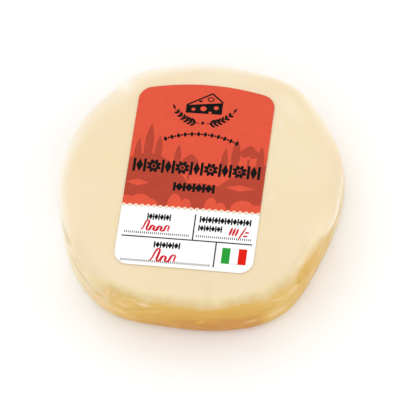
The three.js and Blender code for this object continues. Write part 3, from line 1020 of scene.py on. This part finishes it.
def within(loop, x, y):
    """Whether each place x, y lies inside a loop of points."""
    inside = np.zeros(len(x), bool)
    for (ax, ay), (bx, by) in zip(loop, loop[1:] + loop[:1]):
        if ay != by:
            spans = (ay > y) != (by > y)
            inside ^= spans & (x < (bx - ax) * (y - ay) / (by - ay) + ax)
    return inside


def loop_area(loop):
    """Signed area within a loop of points, above 0 where it runs anticlockwise."""
    return sum(a[0] * b[1] - b[0] * a[1] for a, b in zip(loop, loop[1:] + loop[:1])) / 2


def cut_sheet(outline, shapes):
    """The flat sheet's triangles, cut along its outline, its print and a grid of straight lines.

    Returns the corners' places, the triangles as corners running anticlockwise, and their inks."""
    points, edges = [], []

    def cut(line, closed):
        first, count = len(points), len(line)
        points.extend(Vector(p) for p in line)
        edges.extend((first + i, first + (i + 1) % count) for i in range(count if closed else count - 1))

    for loop in [outline] + [loop for _, loop in shapes]:
        cut(loop, True)
    for x in np.arange(-LABEL_WIDTH / 2 + LABEL_GRID / 2, LABEL_WIDTH / 2, LABEL_GRID):
        cut([(x, -LABEL_HEIGHT), (x, LABEL_HEIGHT)], False)
    for y in np.arange(-LABEL_HEIGHT / 2 + LABEL_GRID / 2, LABEL_HEIGHT / 2, LABEL_GRID):
        cut([(-LABEL_WIDTH, y), (LABEL_WIDTH, y)], False)
    flat, _, triangles, _, _, _ = delaunay_2d_cdt(points, edges, [], 0, LABEL_MERGE)
    corners = np.array([[tuple(flat[i]) for i in triangle] for triangle in triangles])
    x, y = corners.mean(axis=1).T
    inks = np.full(len(triangles), WHITE)
    for ink, loop in shapes:
        inks[within(loop, x, y)] = ink
    on_sheet = within(outline, x, y)
    kept = [tuple(triangle) for triangle, on in zip(triangles, on_sheet) if on]
    used = sorted({i for triangle in kept for i in triangle})
    number = {old: new for new, old in enumerate(used)}
    places = [tuple(flat[i]) for i in used]
    kept = [tuple(number[i] for i in triangle) for triangle in kept]
    kept = [t if loop_area([places[i] for i in t]) > 0 else t[::-1] for t in kept]
    return places, kept, inks[on_sheet].tolist()


def sheet_height(x, y):
    """Height of the paper's underside at a place on the wheel's upper face, with its slight waves."""
    wave = LABEL_WAVE * (1 + np.sin(x * 0.21 + 0.8) * np.sin(y * 0.17))
    return face_height(x, y) + LABEL_LIFT + wave


def build_label():
    """One thin closed sheet whose upper side is cut into the print's fields of colour."""
    places, upper, worn = cut_sheet(label_outline(), label_print())
    place = np.array(places) + np.array(LABEL_MIDDLE)
    height = sheet_height(place[:, 0], place[:, 1])
    sheet = np.column_stack([place, height])
    vertices = np.vstack([sheet + (0, 0, LABEL_THICKNESS), sheet])
    below = len(places)
    lower = [tuple(i + below for i in t[::-1]) for t in upper]
    edges = [edge for a, b, c in upper for edge in ((a, b), (b, c), (c, a))]
    known = set(edges)
    sides = [(a, a + below, b + below, b) for a, b in edges if (b, a) not in known]
    mesh = bpy.data.meshes.new("label_sheet")
    mesh.from_pydata([tuple(c * MM for c in v) for v in vertices], [], upper + lower + sides)
    for name, srgb in INKS:
        mesh.materials.append(ink_material("ink_" + name, srgb))
    mesh.polygons.foreach_set("material_index", worn + [WHITE] * (len(lower) + len(sides)))
    mesh.update()
    label = add_object("label_sheet", mesh)
    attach(label, BODY)
    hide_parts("label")


# ---- Floor, light and camera ----

# The view: from the front and a little to the right, well above, with the camera rolled so that
# the wheel appears turned to the left.
VIEW_TURN = 16.4
VIEW_RISE = 62.6
VIEW_ROLL = 10.0
VIEW_DISTANCE = 1200.0
VIEW_WIDTH = 144.1  # width that the frame covers at the wheel
FRAME_PIXELS = 400
AIM = (-0.1, 0.5, 11.5)  # this point shows at AIM_PIXEL
AIM_PIXEL = (199.9, 193.7)
SENSOR_WIDTH = 36.0

FLOOR_HALF = 3.0  # half the floor's width, in metres
FLOOR_TONE = (0.97, 0.97, 0.97, 1)
SURROUND_STRENGTH = 0.96
LIGHTS = [  # name, place and width in metres, power in watts
    ("key", (-0.55, 0.75, 1.0), 0.9, 1.4), ("front", (0.1, -1.15, 0.5), 1.0, 1.6),
    ("right", (1.2, 0.2, 0.5), 1.0, 2.6), ("left", (-1.2, -0.3, 0.5), 1.0, 1.0),
]


def build_camera():
    turn, rise, roll = (math.radians(a) for a in (VIEW_TURN, VIEW_RISE, VIEW_ROLL))
    back = Vector((math.sin(turn) * math.cos(rise), -math.cos(turn) * math.cos(rise), math.sin(rise)))
    level = Vector((math.cos(turn), math.sin(turn), 0))
    upright = back.cross(level)
    right = level * math.cos(roll) - upright * math.sin(roll)
    up = level * math.sin(roll) + upright * math.cos(roll)
    data = bpy.data.cameras.new("camera")
    data.sensor_width = SENSOR_WIDTH
    data.lens = SENSOR_WIDTH * VIEW_DISTANCE / VIEW_WIDTH
    data.clip_start, data.clip_end = 0.05, 20.0
    pixel = VIEW_WIDTH / FRAME_PIXELS
    off_x, off_y = AIM_PIXEL[0] - FRAME_PIXELS / 2, AIM_PIXEL[1] - FRAME_PIXELS / 2
    middle = Vector(AIM) - right * off_x * pixel + up * off_y * pixel
    camera = add_object("camera", data)
    axes = Matrix((right, up, back)).transposed().to_4x4()
    camera.matrix_world = Matrix.Translation((middle + back * VIEW_DISTANCE) * MM) @ axes
    bpy.context.scene.camera = camera


def build_floor():
    mesh = bpy.data.meshes.new("floor")
    corners = [(x * FLOOR_HALF, y * FLOOR_HALF, 0) for x, y in ((-1, -1), (1, -1), (1, 1), (-1, 1))]
    mesh.from_pydata(corners, [], [(0, 1, 2, 3)])
    recipe = Recipe("pale_floor")
    mesh.materials.append(recipe.finish(recipe.add("BsdfDiffuse", "BSDF", {"Color": FLOOR_TONE})))
    add_object("floor", mesh)


def build_light():
    """An even white surround, with soft square lights that face the wheel from four sides."""
    world = bpy.data.worlds.new("studio")
    world.use_nodes = True
    background = world.node_tree.nodes["Background"]
    background.inputs["Color"].default_value = (1.0, 1.0, 1.0, 1)
    background.inputs["Strength"].default_value = SURROUND_STRENGTH
    bpy.context.scene.world = world
    for name, place, width, power in LIGHTS:
        data = bpy.data.lights.new(name, "AREA")
        data.size = width
        data.energy = power
        light = add_object(name, data)
        light.location = place
        light.rotation_euler = (-Vector(place)).to_track_quat("-Z", "Y").to_euler()
    bpy.context.scene.view_settings.view_transform = "Standard"


build_cheese()
build_film()
build_label()
build_floor()
build_light()
build_camera()
